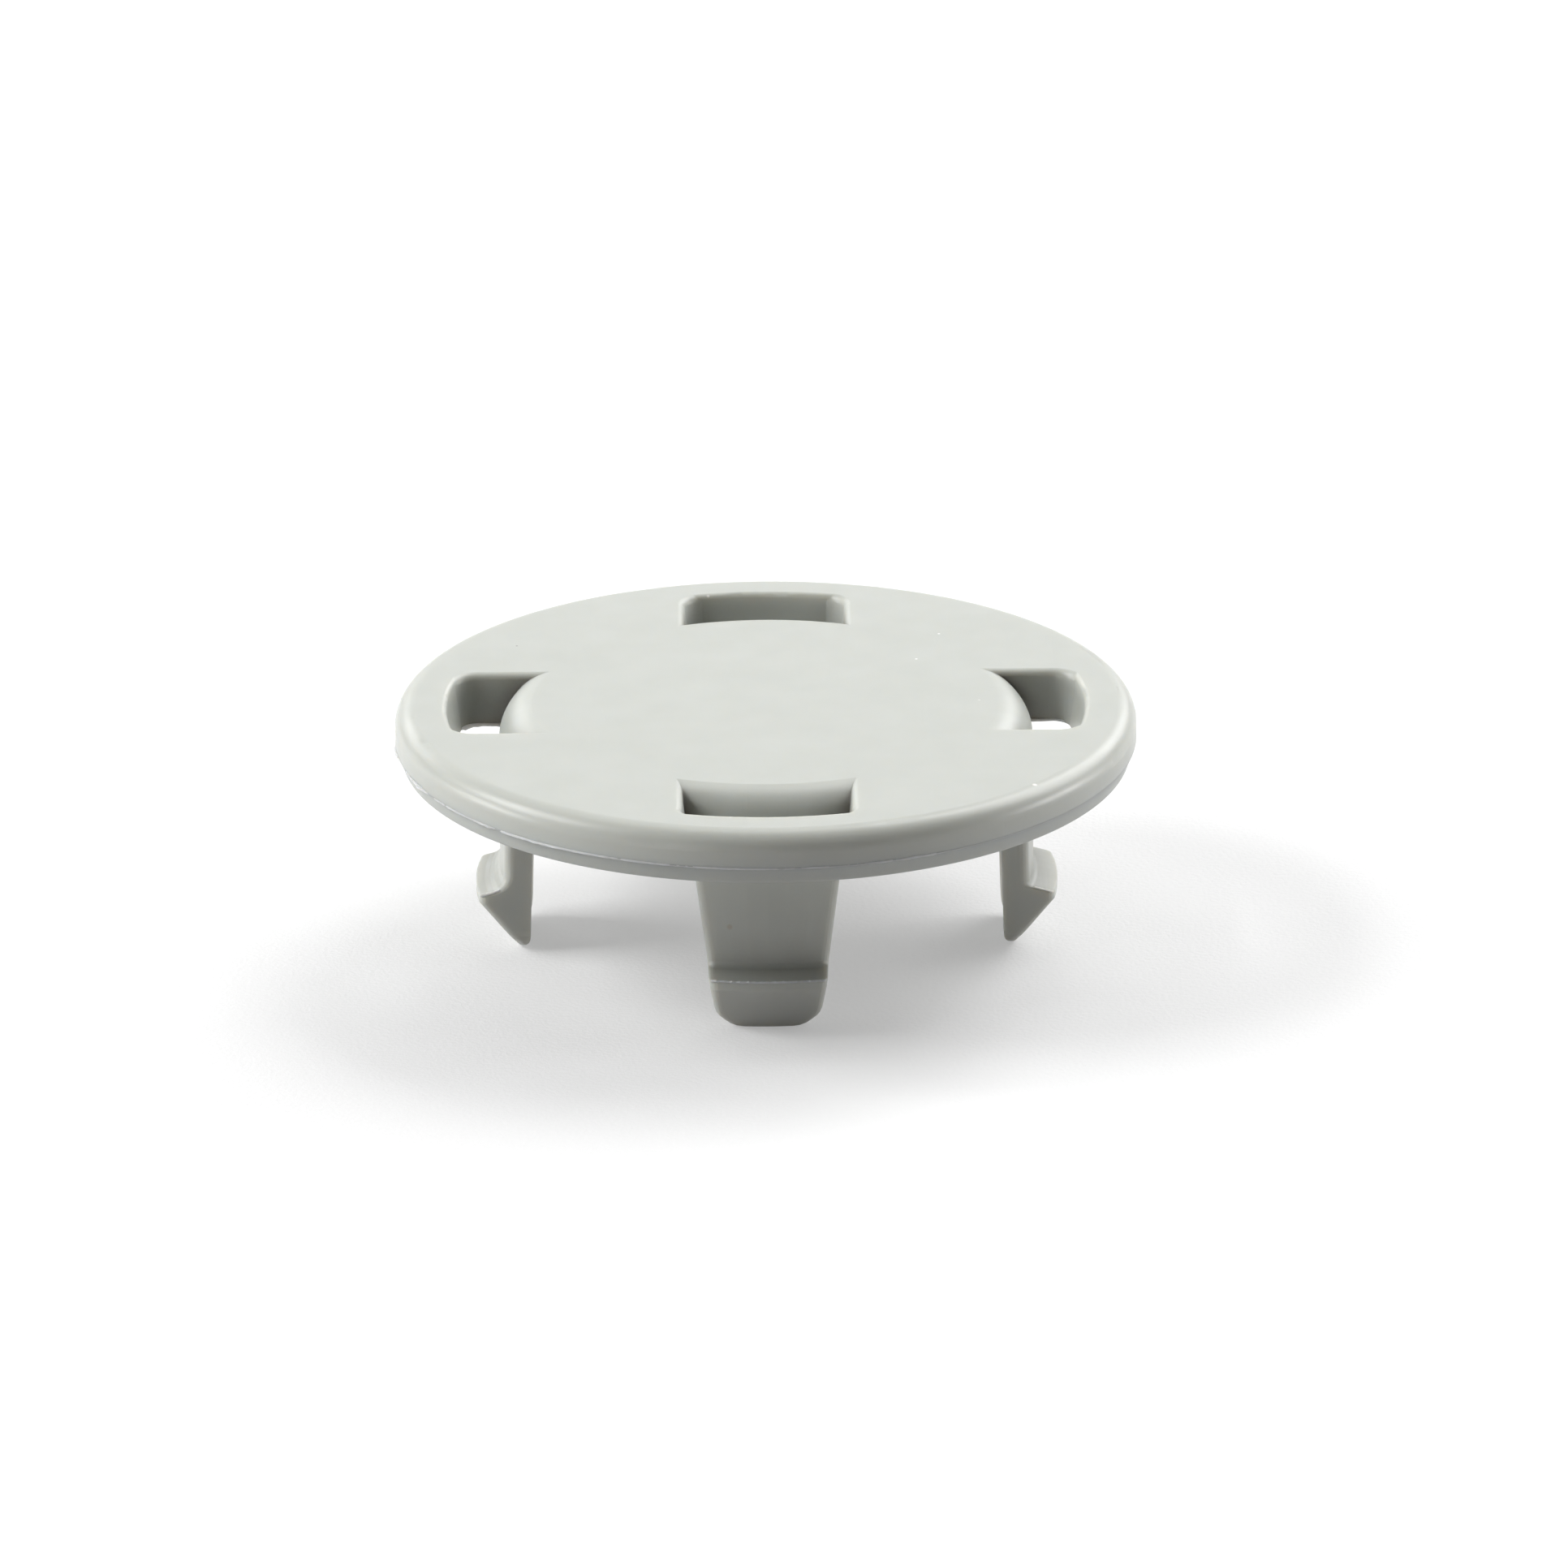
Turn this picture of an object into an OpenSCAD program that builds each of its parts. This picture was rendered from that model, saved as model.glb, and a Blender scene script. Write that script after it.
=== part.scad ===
// Bolt hole cover: a round snap-in cap that closes a large hole left by a bolt.
// It is one moulding: a flat disc with four windows, and under each window a springy hook.
// The windows let the mould's cores reach down to the ledges of the hooks.
// The cap stands on the toes of its hooks: the floor is z = 0 and the disc's axis is Z.

/* [Disc] */
// Outer diameter of the disc
disc_d = 38; // [37:0.5:48]
// Thickness of the disc
disc_t = 2.7; // [2.4:0.1:3.6]
// Radius of the rounded top edge of the disc
edge_r = 1; // [0.4:0.1:1.3]
// Height of the mould's parting line above the underside of the disc
parting_h = 0.9; // [0.5:0.1:1]
// Step in the side of the disc at the parting line
parting_step = 0.05; // [0.02:0.01:0.1]
// Draft of the side below the parting line, in degrees
draft_angle = 16; // [0:1:20]
// Radius of the bottom edge of the disc
bottom_edge_r = 0.15; // [0.05:0.05:0.25]

/* [Windows] */
// Number of windows, each with a hook below it
window_count = 4; // [3:1:5]
// Radius from the axis to the inner wall of a window
window_in_r = 13.7; // [11:0.1:13.8]
// Radial width of a window at the underside of the disc
window_depth = 2.35; // [2.15:0.1:2.75]
// Width of a window between its side walls, at the underside of the disc
window_w = 7.85; // [6.5:0.05:8.5]
// Draft of the outer and the side walls of a window, in degrees: it widens towards the top
window_draft = 7; // [2:1:12]
// Radius in plan of the outer corners of a window, at the underside of the disc
window_corner_r = 1; // [0.4:0.1:1.1]
// Radius in plan of the outer corners of the front window
front_corner_r = 0.5; // [0.4:0.1:1.1]
// Rounding of a window's top edge on the side of the axis
inner_edge_r = 1.9; // [0.5:0.1:2.2]
// Rounding of a window's top edge along its side walls
side_edge_r = 0.4; // [0.3:0.05:0.8]
// Rounding of a window's top edge along its outer wall
outer_edge_r = 0.3; // [0.2:0.05:0.5]

/* [Hooks] */
// Length of a hook below the disc
hook_l = 10.05; // [8.05:0.5:14.05]
// Wall thickness of a hook's leg
leg_t = 1.3; // [0.9:0.05:1.6]
// Slope of each side of a leg, in degrees: a leg narrows towards its toe
leg_taper = 7.4; // [0:0.2:8]
// Radius of a leg's outer long edges and of the barb's outer corners
leg_edge_r = 0.5; // [0.2:0.05:0.6]
// Fillet between a leg's inner face and the disc
leg_root_r = 0.4; // [0.2:0.1:0.8]
// Height of the ledge above the toe, at the leg's face
ledge_h = 3.6; // [3.2:0.1:5]
// Fall of the ledge towards its edge, in degrees
ledge_angle = 15; // [0:1:20]
// Fillet between the ledge and the leg
ledge_root_r = 0.3; // [0.1:0.1:1.1]
// The same fillet on the left hook, which the mould left larger
left_ledge_root_r = 1.1; // [0.1:0.1:1.1]
// How far the barb stands out from the leg's face
barb_reach = 1.25; // [0.75:0.1:1.45]
// Height of the upright land at the barb's edge
land_h = 0.5; // [0.2:0.1:0.8]
// Thickness of the toe at its lowest point
toe_t = 0.2; // [0.1:0.05:0.4]
// Chamfer of the toe towards the axis: its width
toe_chamfer = 0.2; // [0.05:0.05:0.4]
// Chamfer of the toe towards the axis: its height
toe_chamfer_h = 0.45; // [0.2:0.05:0.8]
// Radius of the two bottom corners of a hook, seen from outside
toe_corner_r = 1.2; // [0.6:0.1:1.6]

/* [Hidden] */
$fn = 160;
// Steps where a hook meets its window: its outer face stands proud of the window's inner wall,
// and its sides stand back from the window's side walls
face_step = 0.05;
// How far one shape reaches past another that it cuts, or into one that it joins
cut_over = 1;
root_sink = 0.3;
// The roundings of the window edges start this little above the disc's face, to meet it in an edge
edge_lift = 0.01;
// The round corners of a window and their roundings are this little larger, to cross the walls
// and roundings that they run into instead of only touching them
corner_over = 0.005;
corner_edge_over = 0.02;
// Straight pieces in each rounded corner, in each long arc and in each fillet of a hook
corner_steps = 4;
arc_steps = 6;
fillet_steps = 5;
toe_steps = 6;

disc_r = disc_d / 2;
disc_bottom = hook_l;
disc_top = disc_bottom + disc_t;
window_out_r = window_in_r + window_depth;
window_half_w = window_w / 2;
window_low = disc_bottom - cut_over;
window_h = disc_t + 2 * cut_over;
// How much a window's drafted walls stand back at the disc's top, and at the ends of what cuts them
draft_low = -cut_over * tan(window_draft);
draft_top = disc_t * tan(window_draft);
draft_high = (disc_t + cut_over) * tan(window_draft);
leg_out_r = window_in_r + face_step;
leg_in_r = leg_out_r - leg_t;
leg_half_w = window_half_w - face_step;
barb_r = leg_out_r + barb_reach;
ledge_edge_z = ledge_h - barb_reach * tan(ledge_angle);
land_low_z = ledge_edge_z - land_h;
toe_in_r = leg_in_r + toe_chamfer;
toe_out_r = toe_in_r + toe_t;
// Turn of each window and hook about the axis: front, right, back, left
turn_step = 360 / window_count;
first_turn = -90;
left_index = 3;

// Section of the disc from its axis to its rim
module disc_section() {
    parting_z = disc_bottom + parting_h;
    lower_r = disc_r - parting_step;
    bottom_r = lower_r - parting_h * tan(draft_angle);
    polygon([
        [0, disc_bottom],
        [bottom_r - bottom_edge_r, disc_bottom],
        [bottom_r, disc_bottom + bottom_edge_r],
        [lower_r, parting_z],
        [disc_r, parting_z],
        [disc_r, disc_top - edge_r],
        [disc_r - edge_r, disc_top],
        [0, disc_top]
    ]);
    intersection() {
        translate([disc_r - edge_r, disc_top - edge_r]) circle(edge_r);
        translate([disc_r - edge_r, disc_top - edge_r]) square(edge_r);
    }
    intersection() {
        translate([bottom_r - bottom_edge_r, disc_bottom + bottom_edge_r]) circle(bottom_edge_r);
        translate([bottom_r - bottom_edge_r, disc_bottom]) square(bottom_edge_r);
    }
}

// Section of a core up to a wall that stands x from its middle at the underside and leans out by the draft
module drafted_section(x) {
    polygon([
        [0, window_low],
        [x + draft_low, window_low],
        [x + draft_high, window_low + window_h],
        [0, window_low + window_h]
    ]);
}

// What a core takes off beside such a wall, to round its top edge with radius r
module edge_flare(x, r, draft) {
    top_z = disc_top + edge_lift;
    centre = [x + r * (1 - sin(draft)) / cos(draft), top_z - r];
    touch = centre + r * [-cos(draft), sin(draft)];
    difference() {
        polygon([touch, centre, [centre[0], top_z + cut_over], [touch[0], top_z + cut_over]]);
        translate(centre) circle(r);
    }
}

// Ring between the inner and the outer walls of all windows, with their rounded top edges
module window_ring() {
    rotate_extrude() {
        difference() {
            drafted_section(window_out_r);
            translate([0, window_low]) square([window_in_r, window_h]);
        }
        translate([window_in_r, 0]) mirror([1, 0]) edge_flare(0, inner_edge_r, 0);
        edge_flare(window_out_r + draft_top, outer_edge_r, window_draft);
    }
}

// Slot along +X with rounded top edges, closed at its outer end by two round corners
module window_slot(corner_r) {
    corner_y = window_half_w - corner_r;
    corner_x = sqrt(pow(window_out_r - corner_r, 2) - pow(corner_y, 2));
    rotate([90, 0, 90])
        linear_extrude(corner_x)
            for (side = [0, 1])
                mirror([side, 0]) {
                    drafted_section(window_half_w);
                    edge_flare(window_half_w + draft_top, side_edge_r, window_draft);
                }
    for (side = [-1, 1])
        translate([corner_x, side * corner_y, 0])
            rotate_extrude() {
                drafted_section(corner_r + corner_over);
                edge_flare(corner_r + corner_over + draft_top, side_edge_r + corner_edge_over, window_draft);
            }
    // Wedge that leaves the middle of the outer wall to the ring
    reach = disc_r + cut_over;
    translate([0, 0, window_low])
        linear_extrude(window_h)
            polygon([[0, 0], [reach, -reach * corner_y / corner_x], [reach, reach * corner_y / corner_x]]);
}

module window(corner_r) {
    intersection() {
        window_ring();
        window_slot(corner_r);
    }
}

// Plan of a curved bar along +X: arcs about the axis, straight sides and round outer corners
function bar_outline(in_r, out_r, half_w, edge_r) =
    let (
        r = min(edge_r, 0.8 * (out_r - in_r)),
        y = half_w - r,
        x = sqrt(pow(out_r - r, 2) - y * y),
        turn = atan2(y, x),
        in_turn = asin(half_w / in_r)
    )
    concat(
        [for (i = [0 : corner_steps])
            let (a = -90 + (90 - turn) * i / corner_steps) [x + r * cos(a), -y + r * sin(a)]],
        [for (i = [1 : arc_steps - 1])
            let (a = turn * (2 * i / arc_steps - 1)) out_r * [cos(a), sin(a)]],
        [for (i = [0 : corner_steps])
            let (a = turn + (90 - turn) * i / corner_steps) [x + r * cos(a), y + r * sin(a)]],
        [for (i = [0 : arc_steps])
            let (a = in_turn * (1 - 2 * i / arc_steps)) in_r * [cos(a), sin(a)]]
    );

// Solid through a stack of outlines, lowest first, each with the same number of points
module loft(heights, outlines) {
    n = len(outlines[0]);
    points = [for (k = [0 : len(heights) - 1]) for (p = outlines[k]) [p[0], p[1], heights[k]]];
    walls = [for (k = [0 : len(heights) - 2]) for (i = [0 : n - 1])
        let (a = k * n + i, b = k * n + (i + 1) % n)
        each [[a, a + n, b + n], [a, b + n, b]]];
    low_cap = [for (i = [0 : n - 1]) i];
    high_cap = [for (i = [0 : n - 1]) len(points) - 1 - i];
    polyhedron(points, concat(walls, [low_cap, high_cap]));
}

// Half of a hook's width at height z, with the two bottom corners rounded
function hook_half_w(z) =
    let (
        straight = leg_half_w - (hook_l - z) * tan(leg_taper),
        below = max(0, toe_corner_r - z)
    )
    straight - toe_corner_r + sqrt(pow(toe_corner_r, 2) - pow(below, 2));

// Inner radius of a hook at height z: chamfered toe, straight leg, fillet at the disc
function hook_in_r(z) =
    let (above = max(0, z - hook_l + leg_root_r))
    leg_in_r + toe_chamfer * max(0, 1 - z / toe_chamfer_h)
        - leg_root_r + sqrt(pow(leg_root_r, 2) - pow(above, 2));

// Outer profile of a hook as [z, radius], from the toe up: lead-in, land, ledge, fillet, leg
function lead_in_r(z) = toe_out_r + (barb_r - toe_out_r) * z / land_low_z;
function hook_profile(root_r) =
    let (
        fillet_x = leg_out_r + root_r,
        fillet_z = ledge_h + root_r * (1 - sin(ledge_angle)) / cos(ledge_angle)
    )
    concat(
        [for (i = [0 : toe_steps])
            let (z = toe_corner_r * (1 - cos(90 * i / toe_steps))) [z, lead_in_r(z)]],
        [[land_low_z, barb_r], [ledge_edge_z, barb_r]],
        [for (i = [0 : fillet_steps])
            let (a = 270 - ledge_angle - (90 - ledge_angle) * i / fillet_steps)
            [fillet_z + root_r * sin(a), fillet_x + root_r * cos(a)]],
        [for (i = [0 : fillet_steps])
            [hook_l - leg_root_r * (1 - sin(90 * i / fillet_steps)), leg_out_r]]
    );

module hook(root_r) {
    profile = hook_profile(root_r);
    body = [for (p = profile) bar_outline(hook_in_r(p[0]), p[1], hook_half_w(p[0]), leg_edge_r)];
    // The root narrows inside the disc, so that it leaves the window free
    root = bar_outline(leg_in_r, leg_out_r - root_sink, leg_half_w - root_sink, leg_edge_r);
    loft(concat([for (p = profile) p[0]], [hook_l + root_sink]), concat(body, [root]));
}

// The whole moulding
module cover() {
    color([0.8, 0.81, 0.78]) {
        difference() {
            rotate_extrude() disc_section();
            for (i = [0 : window_count - 1])
                rotate([0, 0, first_turn + i * turn_step])
                    window(i == 0 ? front_corner_r : window_corner_r);
        }
        for (i = [0 : window_count - 1])
            rotate([0, 0, first_turn + i * turn_step])
                hook(i == left_index ? left_ledge_root_r : ledge_root_r);
    }
}

cover();
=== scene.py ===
# %% [markdown]
# # A bolt hole cover
#
# The real object is a snap-in cap of pale grey plastic. It closes a large hole that a bolt leaves in a
# panel. It came out of its mould in one piece, so the solid model is one piece too. This lesson gives
# that piece a true moulded finish, adds the thin flash that the mould left on it, and photographs it.

# %% Load the solid model
import math
import bmesh
import bpy
from mathutils import Matrix, Vector, noise


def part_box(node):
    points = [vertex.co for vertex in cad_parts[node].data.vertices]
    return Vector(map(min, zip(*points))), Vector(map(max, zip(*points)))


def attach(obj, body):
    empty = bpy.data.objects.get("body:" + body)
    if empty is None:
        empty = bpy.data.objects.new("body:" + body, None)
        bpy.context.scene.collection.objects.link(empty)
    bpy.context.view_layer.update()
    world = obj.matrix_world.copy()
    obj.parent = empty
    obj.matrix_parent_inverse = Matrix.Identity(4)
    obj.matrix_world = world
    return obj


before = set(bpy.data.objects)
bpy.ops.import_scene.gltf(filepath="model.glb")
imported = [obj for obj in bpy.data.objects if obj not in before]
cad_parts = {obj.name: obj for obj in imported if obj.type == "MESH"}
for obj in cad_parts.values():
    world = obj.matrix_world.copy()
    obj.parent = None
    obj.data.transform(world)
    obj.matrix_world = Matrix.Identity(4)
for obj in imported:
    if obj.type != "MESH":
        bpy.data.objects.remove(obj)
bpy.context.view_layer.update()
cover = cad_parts["cover"]
low_corner, high_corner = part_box("cover")
MM = 0.001
# The facets of a mesh cut the corners of a circle, so its farther side gives the true radius.
disc_r = max(high_corner.x, -low_corner.x)
disc_top = high_corner.z
print(f"cover: {disc_r * 2 / MM:.2f} mm across, {disc_top / MM:.2f} mm high")

# %% [markdown]
# ## The camera
#
# A product photo like this one is taken with a long lens from far away, so the ellipse of the disc is
# almost free of perspective. Setting the camera by its distance and angles, instead of by dragging it,
# keeps the view easy to correct: each number is one thing that a photographer would change.

# %% Set the camera
CAMERA_DISTANCE = 450 * MM
CAMERA_ELEVATION = math.radians(20.4)
CAMERA_AZIMUTH = math.radians(-0.17)
CAMERA_ROLL = math.radians(-0.37)
LENS = 201.6
SENSOR = 36
AIM_RIGHT = 0.94 * MM
AIM_DOWN = 4.28 * MM

disc_centre = Vector((0, 0, disc_top))
towards_camera = Vector((
    math.sin(CAMERA_AZIMUTH) * math.cos(CAMERA_ELEVATION),
    -math.cos(CAMERA_AZIMUTH) * math.cos(CAMERA_ELEVATION),
    math.sin(CAMERA_ELEVATION),
))
level_right = Vector((math.cos(CAMERA_AZIMUTH), math.sin(CAMERA_AZIMUTH), 0))
level_up = towards_camera.cross(level_right)
camera_right = level_right * math.cos(CAMERA_ROLL) + level_up * math.sin(CAMERA_ROLL)
camera_up = level_up * math.cos(CAMERA_ROLL) - level_right * math.sin(CAMERA_ROLL)
camera_place = disc_centre + towards_camera * CAMERA_DISTANCE
aim = disc_centre + camera_right * AIM_RIGHT - camera_up * AIM_DOWN

back = (camera_place - aim).normalized()
right = (camera_right - back * camera_right.dot(back)).normalized()
up = back.cross(right)
camera_data = bpy.data.cameras.new("camera")
camera_data.lens = LENS
camera_data.sensor_width = SENSOR
camera_data.clip_start = 10 * MM
camera = bpy.data.objects.new("camera", camera_data)
camera.matrix_world = Matrix.Translation(camera_place) @ Matrix((right, up, back)).transposed().to_4x4()
bpy.context.scene.collection.objects.link(camera)
bpy.context.scene.camera = camera
print(f"camera: {CAMERA_DISTANCE / MM:.0f} mm away, lens {LENS} mm")

# %% [markdown]
# ## The paper
#
# The cover stands on white paper that runs far back and fills the whole picture. A studio keeps such
# paper white and its shadows pale, while little light comes back from it on to the front of the cover.
# So the paper has two looks. The camera and reflections see it white, with a faint glow that lifts the
# shadows. The soft light that bounces off it finds it grey. Its fibres are a fine bump that shows only
# where the light grazes them.

# %% Make the paper
PAPER_SIZE = 4.0
PAPER_WHITE = (0.6, 0.6, 0.6, 1)
PAPER_GLOW = 0.3
PAPER_BOUNCE = (0.375, 0.36, 0.36, 1)
PAPER_FIBRE = 0.25
PAPER_FIBRE_DETAIL = 3
PAPER_FIBRE_DEPTH = 0.035 * MM


def new_material(name):
    """Make an empty material and return it with its nodes and links."""
    material = bpy.data.materials.new(name)
    material.use_nodes = True
    material.node_tree.nodes.clear()
    return material, material.node_tree.nodes, material.node_tree.links


def add_noise(nodes, links, coordinates, size_mm, detail):
    """Add a noise whose lumps are about size_mm wide on the real object."""
    cloud = nodes.new("ShaderNodeTexNoise")
    cloud.inputs["Scale"].default_value = 1 / (size_mm * MM)
    cloud.inputs["Detail"].default_value = detail
    links.new(coordinates.outputs["Object"], cloud.inputs["Vector"])
    return cloud


def make_paper():
    """Make the paper: white with a glow where it is seen, and grey for the light that bounces off it."""
    material, nodes, links = new_material("paper")
    white = nodes.new("ShaderNodeBsdfDiffuse")
    white.inputs["Color"].default_value = PAPER_WHITE
    coordinates = nodes.new("ShaderNodeTexCoord")
    fibres = add_noise(nodes, links, coordinates, PAPER_FIBRE, PAPER_FIBRE_DETAIL)
    bump = nodes.new("ShaderNodeBump")
    bump.inputs["Strength"].default_value = 1
    bump.inputs["Distance"].default_value = PAPER_FIBRE_DEPTH
    links.new(fibres.outputs["Fac"], bump.inputs["Height"])
    links.new(bump.outputs["Normal"], white.inputs["Normal"])
    glow = nodes.new("ShaderNodeEmission")
    glow.inputs["Strength"].default_value = PAPER_GLOW
    seen = nodes.new("ShaderNodeAddShader")
    links.new(white.outputs[0], seen.inputs[0])
    links.new(glow.outputs[0], seen.inputs[1])
    bounce = nodes.new("ShaderNodeBsdfDiffuse")
    bounce.inputs["Color"].default_value = PAPER_BOUNCE
    path = nodes.new("ShaderNodeLightPath")
    looked_at = nodes.new("ShaderNodeMath")
    looked_at.operation = "MAXIMUM"
    links.new(path.outputs["Is Camera Ray"], looked_at.inputs[0])
    links.new(path.outputs["Is Glossy Ray"], looked_at.inputs[1])
    mix = nodes.new("ShaderNodeMixShader")
    links.new(looked_at.outputs[0], mix.inputs["Fac"])
    links.new(bounce.outputs[0], mix.inputs[1])
    links.new(seen.outputs[0], mix.inputs[2])
    output = nodes.new("ShaderNodeOutputMaterial")
    links.new(mix.outputs[0], output.inputs["Surface"])
    return material


def lay_paper():
    """Lay one flat sheet under the toes of the hooks."""
    half = PAPER_SIZE / 2
    mesh = bpy.data.meshes.new("paper")
    corners = [(-half, -half, 0), (half, -half, 0), (half, half, 0), (-half, half, 0)]
    mesh.from_pydata(corners, [], [(0, 1, 2, 3)])
    mesh.materials.append(make_paper())
    paper = bpy.data.objects.new("paper", mesh)
    bpy.context.scene.collection.objects.link(paper)


lay_paper()
print(f"paper: {PAPER_SIZE} m square")

# %% [markdown]
# ## The light
#
# The sides of the cover shine and its front is dark, so the light came from the sides. At each of them
# stand a low and a high softbox. Weaker ones behind, above and at the left of the front fill the rest.
# Each softbox is written as a photographer would place it: its angle round the cover, its height in
# degrees, how large it looks and how bright it is beside white paper. Its power follows from its area.

# %% Light the cover
LAMP_DISTANCE = 1.0
ROOM_FILL = 0.02
ROOM_SEEN = 1.0


def make_room():
    """Make a room that the camera sees white and that gives only a little light."""
    world = bpy.data.worlds.new("room")
    world.use_nodes = True
    nodes, links = world.node_tree.nodes, world.node_tree.links
    nodes.clear()
    path = nodes.new("ShaderNodeLightPath")
    fill = nodes.new("ShaderNodeBackground")
    fill.inputs["Strength"].default_value = ROOM_FILL
    seen = nodes.new("ShaderNodeBackground")
    seen.inputs["Strength"].default_value = ROOM_SEEN
    for background in (fill, seen):
        background.inputs["Color"].default_value = (1, 1, 1, 1)
    mix = nodes.new("ShaderNodeMixShader")
    output = nodes.new("ShaderNodeOutputWorld")
    links.new(path.outputs["Is Camera Ray"], mix.inputs["Fac"])
    links.new(fill.outputs[0], mix.inputs[1])
    links.new(seen.outputs[0], mix.inputs[2])
    links.new(mix.outputs[0], output.inputs["Surface"])
    bpy.context.scene.world = world


def add_softbox(name, azimuth, elevation, wide, tall, level):
    """Add a softbox, with angles in degrees. Azimuth 0 is behind the cover and 90 at its right."""
    turn, rise = math.radians(azimuth), math.radians(elevation)
    place = LAMP_DISTANCE * Vector((
        math.sin(turn) * math.cos(rise),
        math.cos(turn) * math.cos(rise),
        math.sin(rise),
    ))
    data = bpy.data.lights.new(name, "AREA")
    data.shape = "RECTANGLE"
    data.size = 2 * LAMP_DISTANCE * math.tan(math.radians(wide) / 2)
    data.size_y = 2 * LAMP_DISTANCE * math.tan(math.radians(tall) / 2)
    data.energy = level * math.pi * data.size * data.size_y
    lamp = bpy.data.objects.new(name, data)
    lamp.location = place
    lamp.rotation_euler = (-place).to_track_quat("-Z", "Y").to_euler()
    bpy.context.scene.collection.objects.link(lamp)
    print(f"{name}: {data.energy:.1f} W")


make_room()
add_softbox("left_low", -90, 6, 28, 10, 15)
add_softbox("left_high", -90, 39, 32, 20, 12.3)
add_softbox("right_low", 82, 6, 28, 10, 15)
add_softbox("right_high", 50, 42, 44, 36, 5.4)
add_softbox("back_left", -30, 20, 28, 16, 3.4)
add_softbox("back", 0, 20, 28, 16, 1.7)
add_softbox("back_right", 30, 20, 28, 16, 3.5)
add_softbox("overhead", 0, 64, 50, 24, 2.1)
add_softbox("front_left_low", -150, 6, 28, 10, 4.2)

# %% [markdown]
# ## Tools for a finish
#
# A moulded finish is many thin layers. Five small tools build them all: one lays a colour over another,
# one stretches a value to a useful range, and the others give the masks of hairlines, specks and spots.
# Specks and spots are sized in millimetres of the real cover. Hairlines are counted by the metre: many
# to the metre across them and few along them, so the noise is drawn out into lines.

# %% Make the tools for a finish
HAIRS_ACROSS = 4500
HAIRS_ALONG = 120
HAIR_CUT = (0.7, 0.78)
SPECK_SOFT = 0.6
SPOT_SOFT = 0.5


def mix_colour(nodes, links, fac, under, over):
    """Lay a colour over another one where fac is 1. Each colour is a plain value or a socket."""
    mix = nodes.new("ShaderNodeMix")
    mix.data_type = "RGBA"
    links.new(fac, mix.inputs["Factor"])
    for socket, colour in ((mix.inputs["A"], under), (mix.inputs["B"], over)):
        if isinstance(colour, tuple):
            socket.default_value = colour
        else:
            links.new(colour, socket)
    return mix.outputs["Result"]


def add_range(nodes, links, value, start, end, low, high):
    """Turn the range from start to end of a value into the range from low to high."""
    fit = nodes.new("ShaderNodeMapRange")
    fit.inputs["From Min"].default_value = start
    fit.inputs["From Max"].default_value = end
    fit.inputs["To Min"].default_value = low
    fit.inputs["To Max"].default_value = high
    links.new(value, fit.inputs["Value"])
    return fit.outputs["Result"]


def add_scratches(nodes, links, coordinates, turn):
    """Return a mask of hairlines: a noise that is stretched along one direction."""
    mapping = nodes.new("ShaderNodeMapping")
    mapping.inputs["Rotation"].default_value = (0, 0, math.radians(turn))
    mapping.inputs["Scale"].default_value = (HAIRS_ACROSS, HAIRS_ALONG, HAIRS_ALONG)
    links.new(coordinates.outputs["Object"], mapping.inputs["Vector"])
    hairs = nodes.new("ShaderNodeTexNoise")
    hairs.inputs["Scale"].default_value = 1
    hairs.inputs["Detail"].default_value = 1
    links.new(mapping.outputs["Vector"], hairs.inputs["Vector"])
    return add_range(nodes, links, hairs.outputs["Fac"], *HAIR_CUT, 0, 1)


def add_specks(nodes, links, coordinates, spacing_mm, size):
    """Return a mask of sparse dots. Size is a share of the spacing."""
    cells = nodes.new("ShaderNodeTexVoronoi")
    cells.inputs["Scale"].default_value = 1 / (spacing_mm * MM)
    links.new(coordinates.outputs["Object"], cells.inputs["Vector"])
    return add_range(nodes, links, cells.outputs["Distance"], size * SPECK_SOFT, size, 1, 0)


def add_spot(nodes, links, coordinates, place_mm, size_mm):
    """Return a mask of one soft spot at a place on the cover."""
    distance = nodes.new("ShaderNodeVectorMath")
    distance.operation = "DISTANCE"
    links.new(coordinates.outputs["Object"], distance.inputs[0])
    distance.inputs[1].default_value = Vector(place_mm) * MM
    size = size_mm * MM
    return add_range(nodes, links, distance.outputs["Value"], size * SPOT_SOFT, size, 1, 0)
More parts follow.
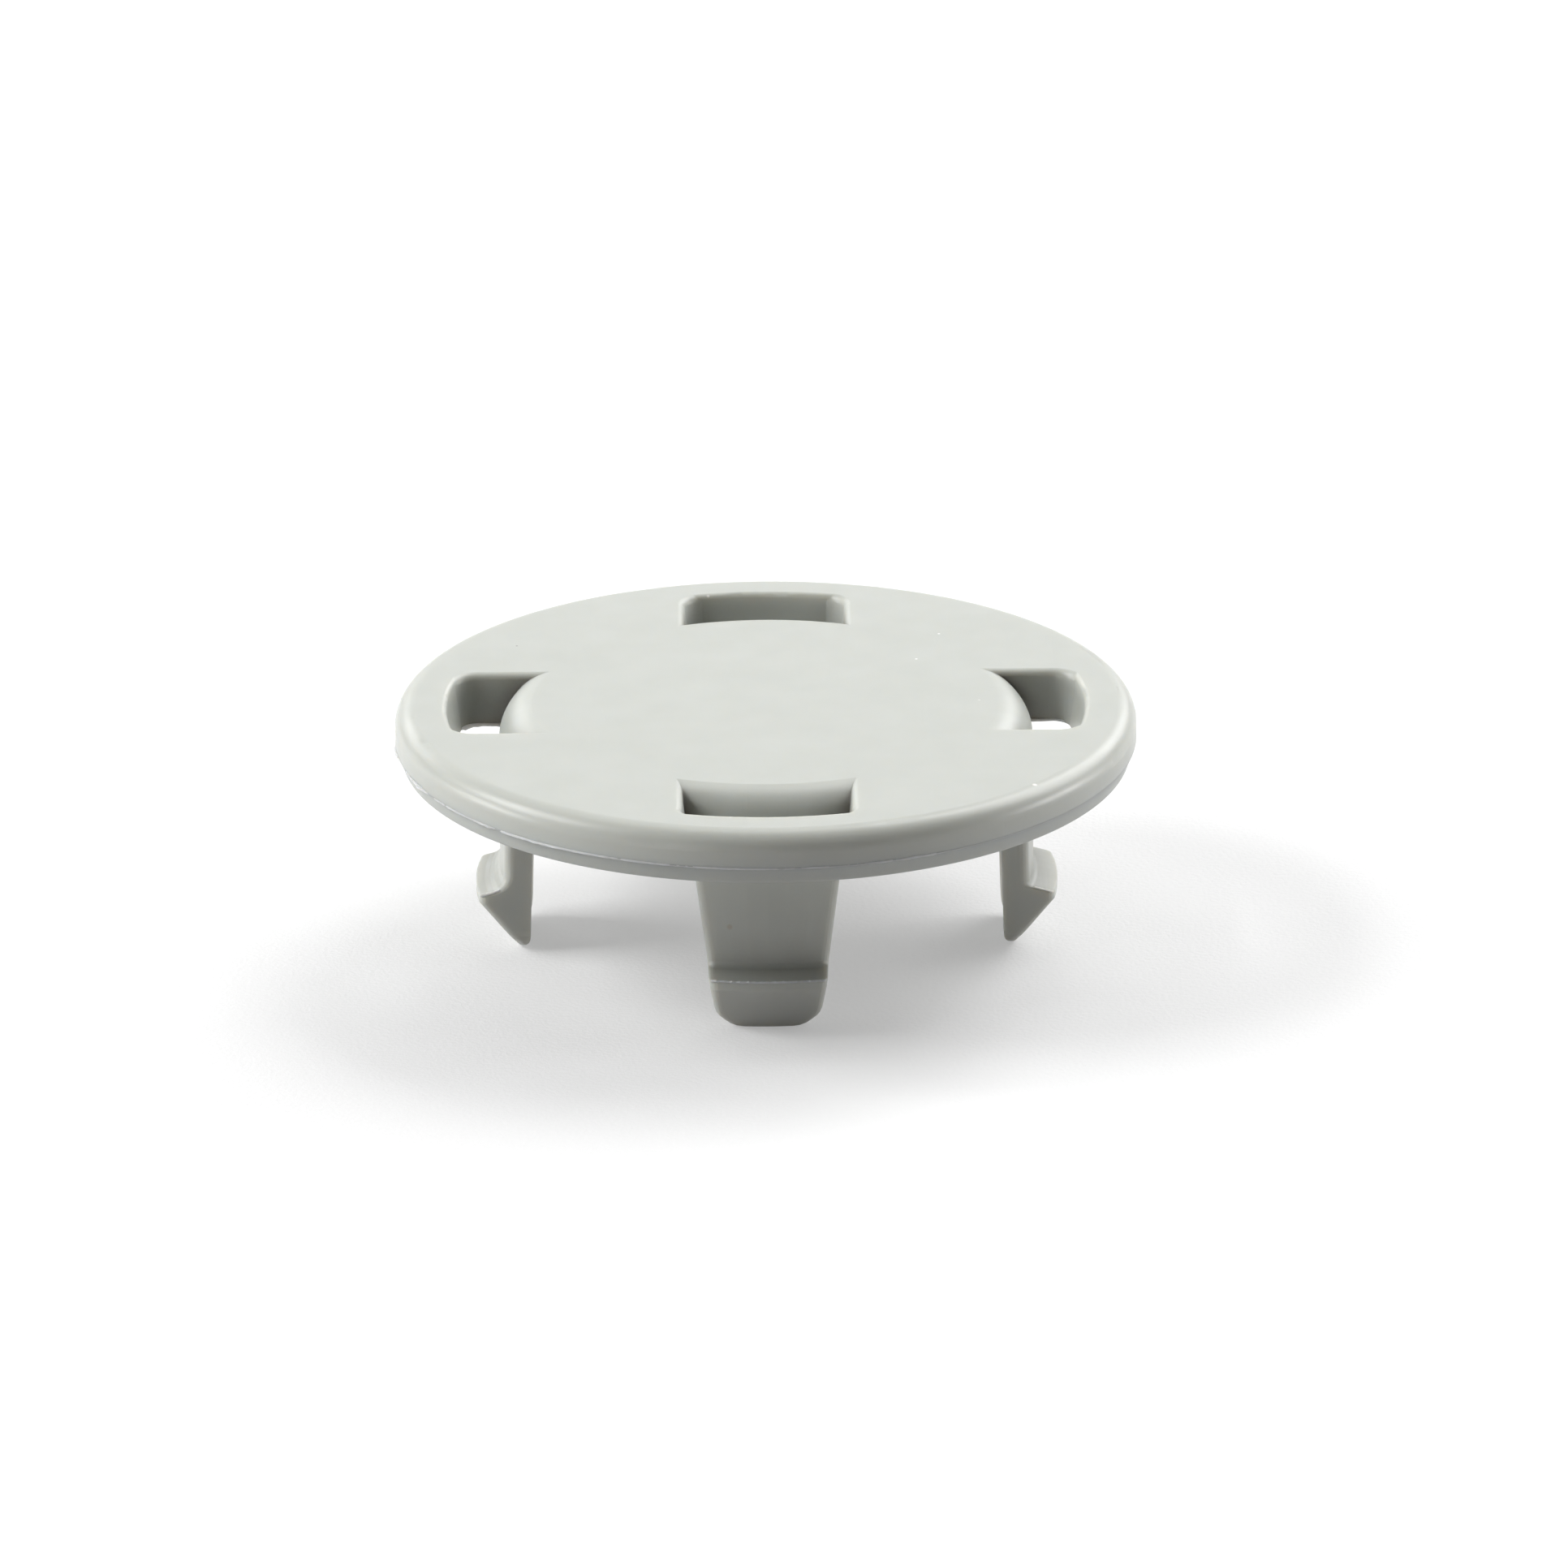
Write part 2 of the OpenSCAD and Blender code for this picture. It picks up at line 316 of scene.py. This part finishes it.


# %% [markdown]
# ## The colour of the plastic
#
# The cap is a pale grey commodity plastic. Its even tone has cloudy colour from the melt, painted shade
# in the deep corners, a sparse scatter of pale specks, and a few marks at the places where the photo has
# them, two of them painted highlights. Ambient Occlusion finds the deep corners, and the colour is
# darkened there to paint their shade.

# %% Choose the colours and marks
PLASTIC = (0.46, 0.477, 0.442, 1)
PLASTIC_CLOUD = (0.48, 0.495, 0.462, 1)
CLOUD_SIZE = 6
# Painted shade: a dark warm colour laid over the plastic in the deep corners.
PAINTED_SHADE = (0.165, 0.153, 0.132, 1)
PAINTED_SHADE_REACH = 2.2 * MM
PAINTED_SHADE_RANGE = (0.42, 0.95)
SPECK = (0.62, 0.63, 0.6, 1)
SPECK_SPACING = 4.5
SPECK_SIZE = 0.02
# Pale specks, and also the colour of two painted highlights at the window corners.
BRIGHT = (0.8, 0.8, 0.78, 1)
STAIN = (0.42, 0.39, 0.34, 1)
DARK = (0.16, 0.15, 0.14, 1)
MARKS = (
    ((-1.92, -13.6, 5.73), 0.18, STAIN),
    ((-0.82, -13.6, 6.99), 0.06, BRIGHT),
    ((0.68, -13.6, 5.4), 0.05, BRIGHT),
    ((9.11, 9.82, 12.75), 0.09, BRIGHT),
    ((7.85, 6.02, 12.75), 0.09, BRIGHT),
    ((13.37, -12.3, 12.7), 0.16, BRIGHT),
    # Painted highlights: this spot and the next, at the outer rear corners of the side windows.
    ((-15.6, 3.5, 12.7), 0.2, BRIGHT),
    ((15.45, 3.3, 12.7), 0.2, BRIGHT),
    ((-2.95, 16.12, 12.7), 0.12, BRIGHT),
    ((-12.93, 8.44, 12.75), 0.07, DARK),
    ((16.22, 9.16, 12.72), 0.1, DARK),
)


def make_tone(nodes, links, coordinates, colour, cloud_colour, painted_shade_strength):
    """Return the colour of the plastic with its clouds, painted shade in the deep corners, specks and
    marks.
    """
    clouds = add_noise(nodes, links, coordinates, CLOUD_SIZE, 3)
    tone = mix_colour(nodes, links, clouds.outputs["Fac"], colour, cloud_colour)
    # Painted shade: Ambient Occlusion finds the deep corners, and the colour is darkened there.
    corners = nodes.new("ShaderNodeAmbientOcclusion")
    corners.samples = 4
    corners.only_local = True
    corners.inputs["Distance"].default_value = PAINTED_SHADE_REACH
    painted_shade_mask = add_range(nodes, links, corners.outputs["AO"], *PAINTED_SHADE_RANGE, painted_shade_strength, 0)
    tone = mix_colour(nodes, links, painted_shade_mask, tone, PAINTED_SHADE)
    specks = add_specks(nodes, links, coordinates, SPECK_SPACING, SPECK_SIZE)
    tone = mix_colour(nodes, links, specks, tone, SPECK)
    for place_mm, size_mm, mark_colour in MARKS:
        spot = add_spot(nodes, links, coordinates, place_mm, size_mm)
        tone = mix_colour(nodes, links, spot, tone, mark_colour)
    return tone


print(f"marks: {len(MARKS)}")

# %% [markdown]
# ## The surface of the plastic
#
# The surface has a very fine grain and faint hairlines in two directions, both as bump, because they are
# far thinner than the mesh can show. The Bevel node rounds the look of the sharpest edges: no moulded
# edge is a knife.

# %% Choose the surface
EDGE_SOFTNESS = 0.12 * MM
GRAIN_SIZE = 0.25
GRAIN_STRENGTH = 0.15
GRAIN_DEPTH = 0.01 * MM
HAIR_TURNS = (25, -50)
HAIR_STRENGTH = 0.12
HAIR_DEPTH = 0.01 * MM


def make_surface(nodes, links, coordinates):
    """Return the normal of the surface with soft edges, grain and hairlines."""
    edges = nodes.new("ShaderNodeBevel")
    edges.samples = 4
    edges.inputs["Radius"].default_value = EDGE_SOFTNESS
    grain = add_noise(nodes, links, coordinates, GRAIN_SIZE, 2)
    normal = nodes.new("ShaderNodeBump")
    normal.inputs["Strength"].default_value = GRAIN_STRENGTH
    normal.inputs["Distance"].default_value = GRAIN_DEPTH
    links.new(grain.outputs["Fac"], normal.inputs["Height"])
    links.new(edges.outputs["Normal"], normal.inputs["Normal"])
    for turn in HAIR_TURNS:
        groove = nodes.new("ShaderNodeBump")
        groove.invert = True
        groove.inputs["Strength"].default_value = HAIR_STRENGTH
        groove.inputs["Distance"].default_value = HAIR_DEPTH
        links.new(add_scratches(nodes, links, coordinates, turn), groove.inputs["Height"])
        links.new(normal.outputs["Normal"], groove.inputs["Normal"])
        normal = groove
    return normal.outputs["Normal"]


# %% [markdown]
# ## The moulded plastic
#
# The plastic has a mild sheen that varies where hands and the mould rubbed it. Light goes about a
# millimetre into it and comes out again, which softens its shadows and makes the thin legs look pale.
# The Subsurface inputs do that. Red light goes deepest, so thin places also turn a little warm.

# %% Give the cover its plastic
GLOSS_SIZE = 2.5
GLOSS_NOISE = (0.3, 0.7)
GLOSS_RANGE = (0.3, 0.44)
LIGHT_THROUGH = 0.6
LIGHT_DEPTH = 1.1 * MM
LIGHT_DEPTH_RGB = (1, 0.85, 0.65)


def make_plastic(name, colour, cloud_colour, painted_shade_strength):
    """Make a moulded plastic. The last argument is 1 for a surface whose deep corners get painted shade
    and 0 for one that doesn't.
    """
    material, nodes, links = new_material(name)
    coordinates = nodes.new("ShaderNodeTexCoord")
    shader = nodes.new("ShaderNodeBsdfPrincipled")
    output = nodes.new("ShaderNodeOutputMaterial")
    links.new(shader.outputs[0], output.inputs["Surface"])
    tone = make_tone(nodes, links, coordinates, colour, cloud_colour, painted_shade_strength)
    links.new(tone, shader.inputs["Base Color"])
    gloss = add_noise(nodes, links, coordinates, GLOSS_SIZE, 4)
    rough = add_range(nodes, links, gloss.outputs["Fac"], *GLOSS_NOISE, *GLOSS_RANGE)
    links.new(rough, shader.inputs["Roughness"])
    shader.inputs["Subsurface Weight"].default_value = LIGHT_THROUGH
    shader.inputs["Subsurface Radius"].default_value = LIGHT_DEPTH_RGB
    shader.inputs["Subsurface Scale"].default_value = LIGHT_DEPTH
    links.new(make_surface(nodes, links, coordinates), shader.inputs["Normal"])
    return material


plastic = make_plastic("grey_plastic", PLASTIC, PLASTIC_CLOUD, 1)
for slot in cover.material_slots:
    slot.material = plastic
print(f"plastic: {len(plastic.node_tree.nodes)} nodes")

# %% [markdown]
# ## The flash of the mould
#
# Where the halves of a mould meet, a skin of plastic thinner than paper creeps out between them. On this
# cover it stands as a ragged pale line round the rim, along the ledges of the hooks and at the mouths of
# the side windows; its paleness is a painted highlight on the same plastic. On the ledges and in the
# windows it is a thin blade that is swept along the edge: its root lies inside the moulding, and a noise
# makes its tip uneven, so it has no straight or even stretch.
# The noise is worked out from the place, so each run of the script gives the same flash.

# %% Build the flash
# Painted highlight: the flash is the same plastic as the cover, given a far paler colour so that its thin
# edge shows as a bright line.
PAINTED_LIT_FLASH = (0.88, 0.88, 0.84, 1)
PAINTED_LIT_FLASH_CLOUD = (0.66, 0.66, 0.63, 1)
FLASH_ROOT = 0.12 * MM
TIP_SHARE = 0.7
painted_lit_flash_plastic = make_plastic("painted_lit_flash_plastic", PAINTED_LIT_FLASH, PAINTED_LIT_FLASH_CLOUD, 0)


def ragged(place, size_mm, low=0, high=1):
    """Return an uneven value from low to high that is always the same at one place."""
    rough = noise.noise(place / (size_mm * MM)) + 0.5 * noise.noise(place / (size_mm * MM / 3))
    return low + (high - low) * min(max(0.5 + 0.6 * rough, 0), 1)


def add_piece(name, maker, material):
    """Turn a finished bmesh into a piece that rides with the cover."""
    bmesh.ops.recalc_face_normals(maker, faces=maker.faces)
    mesh = bpy.data.meshes.new(name)
    maker.to_mesh(mesh)
    maker.free()
    mesh.materials.append(material)
    piece = bpy.data.objects.new(name, mesh)
    bpy.context.scene.collection.objects.link(piece)
    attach(piece, "root")
    print(f"{name}: {len(mesh.polygons)} faces")
    return piece


def make_flash(name, path, thick):
    """Sweep a blade along a path of (place, outward direction, reach), with lengths in metres."""
    maker = bmesh.new()
    rings = []
    for i, (place, outward, reach) in enumerate(path):
        before, after = path[max(i - 1, 0)][0], path[min(i + 1, len(path) - 1)][0]
        across = (after - before).cross(outward).normalized() * thick / 2
        root = place - outward * FLASH_ROOT
        tip = place + outward * reach
        corners = (root - across, tip - across * TIP_SHARE, tip + across * TIP_SHARE, root + across)
        rings.append([maker.verts.new(corner) for corner in corners])
    for ring, after in zip(rings, rings[1:]):
        for side in range(4):
            other = (side + 1) % 4
            maker.faces.new((ring[side], ring[other], after[other], after[side]))
    maker.faces.new(rings[0])
    maker.faces.new(rings[-1])
    return add_piece(name, maker, painted_lit_flash_plastic)


# %% [markdown]
# ## The flash round the rim
#
# The line round the rim is strongest at the left of the front. Each entry of RIM_FLASH is a stretch of
# it: the middle of the stretch and half its width in degrees, and how far the flash stands out there.
# RIM_GAPS are the places where it broke off. The ring is one closed section that is turned about the
# axis. It goes on down the rim and round its lower edge, a few thousandths of a millimetre outside the
# solid, because the flat facets of the solid's mesh catch the light on that small rounding. Its sizes
# are measured in from the rim and down from the top of the disc, so the ring follows the solid.

# %% Flash round the rim
DISC_THICK = 2.7
PARTING_DOWN = 1.8
PARTING_IN = 0.03
LOWER_IN = 0.05
LOWER_DOWN = 0.01
EDGE_IN = 0.458
EDGE_ROUND = 0.15
EDGE_ROOT = 0.1
RIM_LIFT = 0.004
RIM_THICK = 0.14
RIM_THIN_SHARE = 0.3
RIM_FULL_REACH = 0.06
RIM_LUMP = 0.8
RIM_STEPS = 1440
EDGE_STEPS = 8
FLASH_SIDES = 3
RIM_FLASH = ((258, 42, 0.04), (229, 24, 0.1), (188, 4, 0.17), (201, 6, 0.13), (291, 12, 0.05))
RIM_GAPS = ((207, 1.5), (225, 2))

rim_r, rim_top = disc_r / MM, disc_top / MM
underside = rim_top - DISC_THICK
parting_r, parting_z = rim_r - PARTING_IN, rim_top - PARTING_DOWN
lower_r = rim_r - LOWER_IN + RIM_LIFT
edge_r = EDGE_ROUND + RIM_LIFT
centre_r, centre_z = rim_r - EDGE_IN, underside + EDGE_ROUND


def rim_reach(angle, place):
    """Return how far the flash stands out of the rim, in millimetres, at an angle in degrees."""
    reach = max(
        size * (1 - (abs(angle - middle) / half) ** 2) if abs(angle - middle) < half else 0
        for middle, half, size in RIM_FLASH
    )
    for middle, half in RIM_GAPS:
        reach *= min(abs(angle - middle) / half, 1)
    return reach * ragged(place, RIM_LUMP, 0.15, 1.55)


def rim_section(reach):
    """Return the section of the ring as (radius, height) in millimetres, down and round the edge."""
    half = RIM_THICK / 2 * min(1, RIM_THIN_SHARE + reach / RIM_FULL_REACH)
    section = [
        (parting_r - EDGE_ROOT, parting_z + half),
        (parting_r + reach, parting_z + half * TIP_SHARE),
        (parting_r + reach, parting_z - half * TIP_SHARE),
        (lower_r, parting_z - half - LOWER_DOWN),
    ]
    for step in range(EDGE_STEPS + 1):
        turn = math.pi / 2 * step / EDGE_STEPS
        section.append((centre_r + edge_r * math.cos(turn), centre_z - edge_r * math.sin(turn)))
    return section + [(centre_r - EDGE_ROOT, centre_z - edge_r), (centre_r - EDGE_ROOT, centre_z)]


def make_rim():
    """Turn the section about the axis. The flash stays sharp and the edge below it is smooth."""
    maker = bmesh.new()
    rings = []
    for step in range(RIM_STEPS):
        angle = 360 * step / RIM_STEPS
        outward = Vector((math.cos(math.radians(angle)), math.sin(math.radians(angle)), 0))
        place = (outward * parting_r + Vector((0, 0, parting_z))) * MM
        section = rim_section(rim_reach(angle, place))
        rings.append([maker.verts.new((outward * r + Vector((0, 0, z))) * MM) for r, z in section])
    count = len(rings[0])
    for ring, after in zip(rings, rings[1:] + rings[:1]):
        for side in range(count):
            other = (side + 1) % count
            face = maker.faces.new((ring[side], ring[other], after[other], after[side]))
            face.smooth = FLASH_SIDES <= side < FLASH_SIDES + EDGE_STEPS + 2
            face.material_index = 0 if side < FLASH_SIDES else 1
    for edge in maker.edges:
        if any(not face.smooth for face in edge.link_faces):
            edge.smooth = False
    return maker


rim = add_piece("flash_rim", make_rim(), painted_lit_flash_plastic)
rim.data.materials.append(plastic)

# %% [markdown]
# ## The flash in the side windows
#
# At the mouths of the side windows the skin hangs from the rear wall, just above the underside. It is
# wider in the left window, where it also fills part of the outer corner.

# %% Flash in the side windows
MOUTH_Y = 3.94
MOUTH_UP = 0.08
MOUTH_FROM = 13.0
MOUTH_TO = 15.75
MOUTH_STEPS = 110
MOUTH_THICK = 0.1 * MM
MOUTH_LUMP = 0.6
CORNER_LUMP = 0.25
CORNER_RUN = 0.4


def mouth_path(side, width, corner_from, corner_width):
    """Return the path of the flash in the window at side -1 or 1, with widths in millimetres."""
    path = []
    for step in range(MOUTH_STEPS + 1):
        x = MOUTH_FROM + (MOUTH_TO - MOUTH_FROM) * step / MOUTH_STEPS
        place = Vector((side * x, MOUTH_Y, underside + MOUTH_UP)) * MM
        corner = min(max((x - corner_from) / CORNER_RUN, 0), 1)
        reach = width * ragged(place, MOUTH_LUMP, 0.75, 1.25)
        reach += corner_width * corner * ragged(place, CORNER_LUMP, 0.7, 1.3)
        path.append((place, Vector((0, -1, 0)), reach * MM))
    return path


make_flash("flash_window_right", mouth_path(1, 0.2, 15.2, 0.12), MOUTH_THICK)
make_flash("flash_window_left", mouth_path(-1, 0.38, 15.1, 0.5), MOUTH_THICK)

# %% [markdown]
# ## The flash on the hooks
#
# The ledges of the hooks end in a sharp edge that the mould could not quite seal. The front hook shows
# an uneven pale line there with one nib on it. The side hooks show it along the edge towards the camera.

# %% Flash on the hooks
BARB_R = 15.0
LEDGE_Z = 3.265
LEDGE_SLOPE = math.tan(math.radians(15))
LEDGE_HALF = 2.85
LEDGE_STEPS = 200
LEDGE_LUMP = 0.22
LEDGE_LEAST = 0.02
LEDGE_PEAK = 0.15
NIB_X = -2.7
NIB_HALF = 0.15
NIB_REACH = 0.09
SIDE_Y = -2.95
SIDE_FROM_R = 14.0
SIDE_STEPS = 60
SIDE_LUMP = 0.3


def front_ledge_path():
    """Return the path of the flash along the curved edge of the front ledge."""
    path = []
    for step in range(LEDGE_STEPS + 1):
        x = -LEDGE_HALF + 2 * LEDGE_HALF * step / LEDGE_STEPS
        outward = Vector((x / BARB_R, -math.sqrt(1 - (x / BARB_R) ** 2), 0.7)).normalized()
        place = Vector((x, -math.sqrt(BARB_R ** 2 - x ** 2), LEDGE_Z)) * MM
        reach = LEDGE_LEAST + LEDGE_PEAK * ragged(place, LEDGE_LUMP) ** 2
        if abs(x - NIB_X) < NIB_HALF:
            reach += NIB_REACH
        path.append((place, outward, reach * MM))
    return path


def side_ledge_path(side, width):
    """Return the path of the flash up the front edge of the ledge at side -1 or 1."""
    path = []
    outward = Vector((side * 0.3, -0.5, 0.8)).normalized()
    for step in range(SIDE_STEPS + 1):
        r = SIDE_FROM_R + (BARB_R - SIDE_FROM_R) * step / SIDE_STEPS
        x = side * math.sqrt(r ** 2 - SIDE_Y ** 2)
        place = Vector((x, SIDE_Y, LEDGE_Z + (BARB_R - r) * LEDGE_SLOPE)) * MM
        path.append((place, outward, width * ragged(place, SIDE_LUMP, 0.4, 1.4) * MM))
    return path


make_flash("flash_hook_front", front_ledge_path(), 0.12 * MM)
make_flash("flash_hook_left", side_ledge_path(-1, 0.1), 0.09 * MM)
make_flash("flash_hook_right", side_ledge_path(1, 0.05), 0.06 * MM)

# %% [markdown]
# ## Finish
#
# The Standard view shows a white as white, which suits a product on paper.

# %% Finish
scene = bpy.context.scene
scene.view_settings.view_transform = "Standard"
